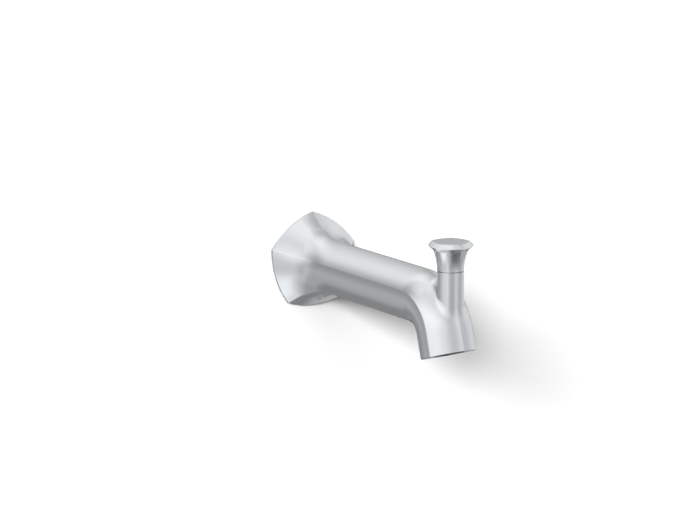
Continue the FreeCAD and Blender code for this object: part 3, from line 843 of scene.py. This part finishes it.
mix = node(tree, "ShaderNodeMixShader", {}, {
    0: side.outputs["Backfacing"], 1: lit.outputs[0], 2: clear.outputs[0]})
node(tree, "ShaderNodeOutputMaterial", {}, {"Surface": mix.outputs[0]})
wall.data.materials.append(paint)

# Light
# One long soft box stands on the left, from near the camera outwards, drawn as three lamps in a row.
# Its shadow is dark close under the tube and fades as it runs off along the wall.
# A wide soft box hangs above.

# Each lamp: its name, the way to it from the wall, its width in degrees and its level
lamps = (
    ("above", (-0.45, -1.0, 0.80), 42.0, 0.22),
    ("near", (-0.79, -1.0, 0.43), 8.5, 0.27),
    ("middle", (-1.08, -1.0, 0.58), 11.0, 0.19),
    ("far", (-1.55, -1.0, 0.80), 15.0, 0.20),
)
for name, toward, spread, level in lamps:
    lamp_data = bpy.data.lights.new(name, "SUN")
    lamp_data.angle = math.radians(spread)
    reach = math.sqrt(sum(part * part for part in toward))
    lamp_data.energy = level * math.pi / (-toward[1] / reach)
    lamp = bpy.data.objects.new(name, lamp_data)
    lamp.rotation_euler = (math.acos(toward[2] / reach), 0.0, math.atan2(toward[0], -toward[1]))
    lamp.visible_glossy = False
    bpy.context.scene.collection.objects.link(lamp)

# Room
# What the chrome mirrors: a pale studio, darker low down, with soft boxes and black flags round it.
# Nothing of it is seen directly, and its light on the wall is a plain sky.
camera_turn = math.radians(-32.1018)
facing = (math.sin(camera_turn), -math.cos(camera_turn), 0.0)
beside = (math.cos(camera_turn), math.sin(camera_turn), 0.0)
sky_foot = -10.0
sky_top = 60.0
floor_light = 0.03
sky_light = 0.7
mirror_share = 0.78
# Height in degrees and level
room_levels = (
    (-90.0, 0.25), (-50.0, 0.17), (-20.0, 0.24), (0.0, 0.28),
    (12.0, 0.34), (30.0, 0.46), (60.0, 0.62), (90.0, 0.66))
# Each soft box: turn to the right of the camera, half width, lower edge, upper edge, softness and level.
# A level below zero is a black flag.
soft_boxes = (
    (-48.0, 36.0, -90.0, 42.0, 24.0, 0.44),
    (80.0, 95.0, -24.0, 25.0, 15.0, 0.16),
    (50.0, 16.0, -18.0, 18.0, 10.0, 0.16),
    (138.0, 24.0, -22.0, 40.0, 14.0, 0.16),
    (-146.0, 24.0, 15.0, 65.0, 12.0, 0.25),
    (-160.0, 12.0, 0.0, 18.0, 8.0, 0.18),
    (-108.0, 24.0, -46.0, -12.0, 8.0, 0.13),
    (-60.0, 70.0, 62.0, 95.0, 12.0, 0.17),
    (180.0, 26.0, 30.0, 78.0, 12.0, -0.18),
    (105.0, 50.0, 68.0, 84.0, 6.0, -0.20),
    (-112.0, 14.0, 10.0, 32.0, 10.0, -0.10),
    (-98.0, 18.0, 42.0, 60.0, 8.0, 0.13),
    (-84.0, 14.0, -6.0, 28.0, 8.0, 0.13),
    (-60.0, 26.0, -32.0, -10.0, 8.0, -0.13),
    (-46.0, 14.0, -62.0, -38.0, 8.0, 0.24),
    (-42.0, 22.0, -6.0, 30.0, 8.0, 0.08),
    (-6.0, 12.0, -28.0, -8.0, 6.0, -0.08),
    (45.0, 14.0, 20.0, 38.0, 8.0, 0.17),
    (135.0, 40.0, -55.0, -30.0, 8.0, 0.17),
    (-130.0, 42.0, -90.0, -44.0, 10.0, 0.12),
    (177.0, 16.0, -26.0, 2.0, 5.0, -0.19),
    (-5.0, 15.0, 10.0, 42.0, 10.0, 0.09),
    (16.0, 5.0, -12.0, 8.0, 5.0, -0.07),
    (24.0, 18.0, -60.0, -30.0, 8.0, -0.05),
)
world = bpy.data.worlds.new("studio")
bpy.context.scene.world = world
world.use_nodes = True
tree = world.node_tree
tree.nodes.clear()

# Every direction is read as degrees to the right of the camera and degrees above the horizon
direction = node(tree, "ShaderNodeTexCoord").outputs["Generated"]
ahead = node(tree, "ShaderNodeVectorMath", {"operation": "DOT_PRODUCT"}, {0: direction, 1: facing})
right = node(tree, "ShaderNodeVectorMath", {"operation": "DOT_PRODUCT"}, {0: direction, 1: beside})
turn = node(tree, "ShaderNodeMath", {"operation": "ARCTAN2"}, {
    0: right.outputs["Value"], 1: ahead.outputs["Value"]})
turn = node(tree, "ShaderNodeMath", {"operation": "DEGREES"}, {0: turn.outputs[0]})
rise = node(tree, "ShaderNodeSeparateXYZ", {}, {0: direction})
rise = node(tree, "ShaderNodeMath", {"operation": "ARCSINE"}, {0: rise.outputs["Z"]})
rise = node(tree, "ShaderNodeMath", {"operation": "DEGREES"}, {0: rise.outputs[0]})

# The studio's levels by height, with the soft boxes added one by one
share = node(tree, "ShaderNodeMapRange", {}, {
    "Value": rise.outputs[0], "From Min": -90.0, "From Max": 90.0})
mirrored = node(tree, "ShaderNodeValToRGB", {}, {"Fac": share.outputs[0]})
ramp = mirrored.color_ramp
while len(ramp.elements) < len(room_levels):
    ramp.elements.new(0.5)
for element, (height, level) in zip(ramp.elements, room_levels):
    element.position = (height + 90.0) / 180.0
    element.color = (level, level, level, 1.0)
for middle, half, low, high, soft, level in soft_boxes:
    apart = node(tree, "ShaderNodeMath", {"operation": "SUBTRACT"}, {0: turn.outputs[0], 1: middle})
    apart = node(tree, "ShaderNodeMath", {"operation": "WRAP"}, {
        0: apart.outputs[0], 1: 180.0, 2: -180.0})
    apart = node(tree, "ShaderNodeMath", {"operation": "ABSOLUTE"}, {0: apart.outputs[0]})
    across = node(tree, "ShaderNodeMapRange", {"interpolation_type": "SMOOTHSTEP"}, {
        "Value": apart.outputs[0], "From Min": half - soft, "From Max": half + soft,
        "To Min": level, "To Max": 0.0})
    above = node(tree, "ShaderNodeMapRange", {"interpolation_type": "SMOOTHSTEP"}, {
        "Value": rise.outputs[0], "From Min": low - soft, "From Max": low + soft})
    below = node(tree, "ShaderNodeMapRange", {"interpolation_type": "SMOOTHSTEP"}, {
        "Value": rise.outputs[0], "From Min": high - soft, "From Max": high + soft,
        "To Min": 1.0, "To Max": 0.0})
    within = node(tree, "ShaderNodeMath", {"operation": "MULTIPLY"}, {
        0: above.outputs[0], 1: below.outputs[0]})
    light = node(tree, "ShaderNodeMath", {"operation": "MULTIPLY"}, {
        0: across.outputs[0], 1: within.outputs[0]})
    mirrored = node(tree, "ShaderNodeMath", {"operation": "ADD"}, {
        0: mirrored.outputs[0], 1: light.outputs[0]})

# Chrome gives back only a share of the room, so the levels are raised by that share.
# What the chrome would throw on the wall is left out, which keeps the shadow clean.
path = node(tree, "ShaderNodeLightPath")
direct = node(tree, "ShaderNodeMath", {"operation": "LESS_THAN"}, {
    0: path.outputs["Diffuse Depth"], 1: 0.5})
mirrored = node(tree, "ShaderNodeMath", {"operation": "DIVIDE"}, {
    0: mirrored.outputs[0], 1: mirror_share})
mirrored = node(tree, "ShaderNodeMath", {"operation": "MULTIPLY"}, {
    0: mirrored.outputs[0], 1: direct.outputs[0]})
sky = node(tree, "ShaderNodeMapRange", {"interpolation_type": "SMOOTHSTEP"}, {
    "Value": rise.outputs[0], "From Min": sky_foot, "From Max": sky_top,
    "To Min": floor_light, "To Max": sky_light})
ambient = node(tree, "ShaderNodeMixRGB", {}, {
    0: path.outputs["Is Glossy Ray"], 1: sky.outputs[0], 2: mirrored.outputs[0]})
shown = node(tree, "ShaderNodeMixRGB", {}, {
    0: path.outputs["Is Camera Ray"], 1: ambient.outputs[0], 2: colour("#FFFFFF")})
background = node(tree, "ShaderNodeBackground", {}, {"Color": shown.outputs[0], "Strength": 1.0})
node(tree, "ShaderNodeOutputWorld", {}, {"Surface": background.outputs[0]})

# Camera
# A long lens a good way off to the left and a little above, as the spout is usually shown.
# It turns to the right and looks slightly down.
camera_dip = math.radians(11.4625)
camera_data = bpy.data.cameras.new("camera")
camera_data.sensor_width = 36.0
camera_data.lens = 113.14
camera = bpy.data.objects.new("camera", camera_data)
camera.location = (-0.80753, -1.33885, 0.31518)
camera.rotation_euler = (QUARTER - camera_dip, 0.0, camera_turn)
bpy.context.scene.collection.objects.link(camera)
bpy.context.scene.camera = camera
bpy.context.scene.view_settings.view_transform = "Standard"
